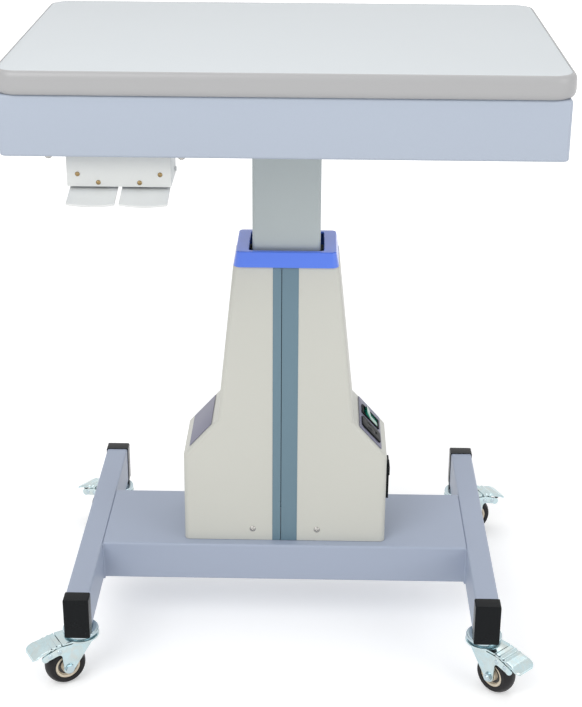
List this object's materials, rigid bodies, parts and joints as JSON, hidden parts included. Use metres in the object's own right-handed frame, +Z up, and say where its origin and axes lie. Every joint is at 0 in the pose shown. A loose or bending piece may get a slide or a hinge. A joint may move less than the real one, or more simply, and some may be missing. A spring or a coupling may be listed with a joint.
{
  "type": "motorised instrument table",
  "caption": "Height-adjustable clinic instrument table: laminated top on a telescoping motor column, ivory housing, H-shaped base and braked swivel casters.",
  "frame": {"origin": "on the floor under the middle of the column", "axes": "+Z up, +X to the user's right, -Y towards the user, who works the paddles under the front edge"},
  "size_m": [0.6114, 0.4658, 0.742],
  "materials": {
    "laminate": "matt laminate",
    "edge_grey": "soft satin edge",
    "lavender_paint": "fine powder coat",
    "base_paint": "fine powder coat",
    "column_grey": "satin grey coat",
    "ivory_plastic": "moulded satin",
    "blue_plastic": "moulded satin",
    "panel_grey": "satin",
    "black_plastic": "moulded satin",
    "green_lens": "clear gloss",
    "white_paint": "smooth white coat",
    "white_plastic": "moulded gloss",
    "steel": "bare bright steel",
    "zinc": "bright zinc plate",
    "motor_black": "black enamel",
    "cast_alloy": "as cast",
    "glide_white": "slippery white plastic",
    "tyre_black": "smooth black tread",
    "hub_cream": "moulded satin"
  },
  "bodies": {
    "base": {"cross_beam": "base_paint", "left_leg": "base_paint", "right_leg": "base_paint", "front_left_cap": "black_plastic", "front_right_cap": "black_plastic", "rear_left_cap": "black_plastic", "rear_right_cap": "black_plastic", "outer_column": "steel", "glide_collar": "glide_white", "foot_bolt_1": "steel", "foot_bolt_2": "steel", "foot_bolt_3": "steel", "foot_bolt_4": "steel", "gearbox": "cast_alloy", "lift_motor": "motor_black", "transformer": "motor_black", "left_cover": "ivory_plastic", "right_cover": "ivory_plastic", "collar": "blue_plastic", "switch_panel": "panel_grey", "outlet_socket": "black_plastic", "power_inlet": "black_plastic", "front_left_race": "zinc", "front_right_race": "zinc", "rear_left_race": "zinc", "rear_right_race": "zinc"},
    "head": {"table_top_board": "laminate", "edge_band": "edge_grey", "apron_tray": "lavender_paint", "top_mount_plate": "steel", "inner_column": "column_grey", "lift_nut": "glide_white", "control_bracket": "white_paint", "up_switch": "black_plastic", "down_switch": "black_plastic", "paddle_pin": "steel"},
    "lead_screw": {"lead_screw": "steel"},
    "up_paddle": {"up_paddle": "white_plastic"},
    "down_paddle": {"down_paddle": "white_plastic"},
    "power_rocker": {"power_rocker": "green_lens"},
    "front_left_swivel": {"front_left_fork": "zinc", "front_left_axle": "zinc"},
    "front_left_wheel": {"front_left_hub": "hub_cream", "front_left_tyre": "tyre_black"},
    "front_left_pedal": {"front_left_pedal": "zinc"},
    "front_right_swivel": {"front_right_fork": "zinc", "front_right_axle": "zinc"},
    "front_right_wheel": {"front_right_hub": "hub_cream", "front_right_tyre": "tyre_black"},
    "front_right_pedal": {"front_right_pedal": "zinc"},
    "rear_left_swivel": {"rear_left_fork": "zinc", "rear_left_axle": "zinc"},
    "rear_left_wheel": {"rear_left_hub": "hub_cream", "rear_left_tyre": "tyre_black"},
    "rear_left_pedal": {"rear_left_pedal": "zinc"},
    "rear_right_swivel": {"rear_right_fork": "zinc", "rear_right_axle": "zinc"},
    "rear_right_wheel": {"rear_right_hub": "hub_cream", "rear_right_tyre": "tyre_black"},
    "rear_right_pedal": {"rear_right_pedal": "zinc"}
  },
  "joints": [
    {"name": "lift", "type": "slide", "parent": "base", "child": "head", "axis": [0, 0, 1], "range_m": [-0.14, 0.08]},
    {"name": "screw_turn", "type": "hinge", "parent": "base", "child": "lead_screw", "pos_m": [0, 0, 0.2], "axis": [0, 0, 1], "continuous": true},
    {"name": "up_press", "type": "hinge", "parent": "head", "child": "up_paddle", "pos_m": [-0.1755, -0.119, 0.61853], "axis": [-1, 0, 0], "range_deg": [0, 4.5], "stiffness_Nm_per_rad": 0.3, "springref_deg": -5.73},
    {"name": "down_press", "type": "hinge", "parent": "head", "child": "down_paddle", "pos_m": [-0.1755, -0.119, 0.61853], "axis": [-1, 0, 0], "range_deg": [0, 4.5], "stiffness_Nm_per_rad": 0.3, "springref_deg": -5.73},
    {"name": "rocker_tip", "type": "hinge", "parent": "base", "child": "power_rocker", "pos_m": [0.10273, 0.014, 0.25637], "axis": [0, -1, 0], "range_deg": [0, 20]},
    {"name": "front_left_turn", "type": "hinge", "parent": "base", "child": "front_left_swivel", "pos_m": [-0.241, -0.18, 0.06], "axis": [0, 0, 1], "continuous": true},
    {"name": "front_left_roll", "type": "hinge", "parent": "front_left_swivel", "child": "front_left_wheel", "pos_m": [-0.26005, -0.191, 0.025], "axis": [0.5, -0.866, 0], "continuous": true},
    {"name": "front_left_brake", "type": "hinge", "parent": "front_left_swivel", "child": "front_left_pedal", "pos_m": [-0.26958, -0.1965, 0.051], "axis": [0.5, -0.866, 0], "range_deg": [0, 5.5]},
    {"name": "front_right_turn", "type": "hinge", "parent": "base", "child": "front_right_swivel", "pos_m": [0.241, -0.18, 0.06], "axis": [0, 0, 1], "continuous": true},
    {"name": "front_right_roll", "type": "hinge", "parent": "front_right_swivel", "child": "front_right_wheel", "pos_m": [0.25628, -0.19582, 0.025], "axis": [0.7193, 0.6947, 0], "continuous": true},
    {"name": "front_right_brake", "type": "hinge", "parent": "front_right_swivel", "child": "front_right_pedal", "pos_m": [0.26392, -0.20374, 0.051], "axis": [0.7193, 0.6947, 0], "range_deg": [0, 5.5]},
    {"name": "rear_left_turn", "type": "hinge", "parent": "base", "child": "rear_left_swivel", "pos_m": [-0.241, 0.18, 0.06], "axis": [0, 0, 1], "continuous": true},
    {"name": "rear_left_roll", "type": "hinge", "parent": "rear_left_swivel", "child": "rear_left_wheel", "pos_m": [-0.25902, 0.19262, 0.025], "axis": [-0.5736, -0.8192, 0], "continuous": true},
    {"name": "rear_left_brake", "type": "hinge", "parent": "rear_left_swivel", "child": "rear_left_pedal", "pos_m": [-0.26803, 0.19893, 0.051], "axis": [-0.5736, -0.8192, 0], "range_deg": [0, 5.5]},
    {"name": "rear_right_turn", "type": "hinge", "parent": "base", "child": "rear_right_swivel", "pos_m": [0.241, 0.18, 0.06], "axis": [0, 0, 1], "continuous": true},
    {"name": "rear_right_roll", "type": "hinge", "parent": "rear_right_swivel", "child": "rear_right_wheel", "pos_m": [0.26094, 0.1893, 0.025], "axis": [-0.4226, 0.9063, 0], "continuous": true},
    {"name": "rear_right_brake", "type": "hinge", "parent": "rear_right_swivel", "child": "rear_right_pedal", "pos_m": [0.27091, 0.19395, 0.051], "axis": [-0.4226, 0.9063, 0], "range_deg": [0, 5.5]}
  ],
  "couplings": [
    {"joint": "screw_turn", "follows": "lift", "rad_per_m": 628.32}
  ]
}
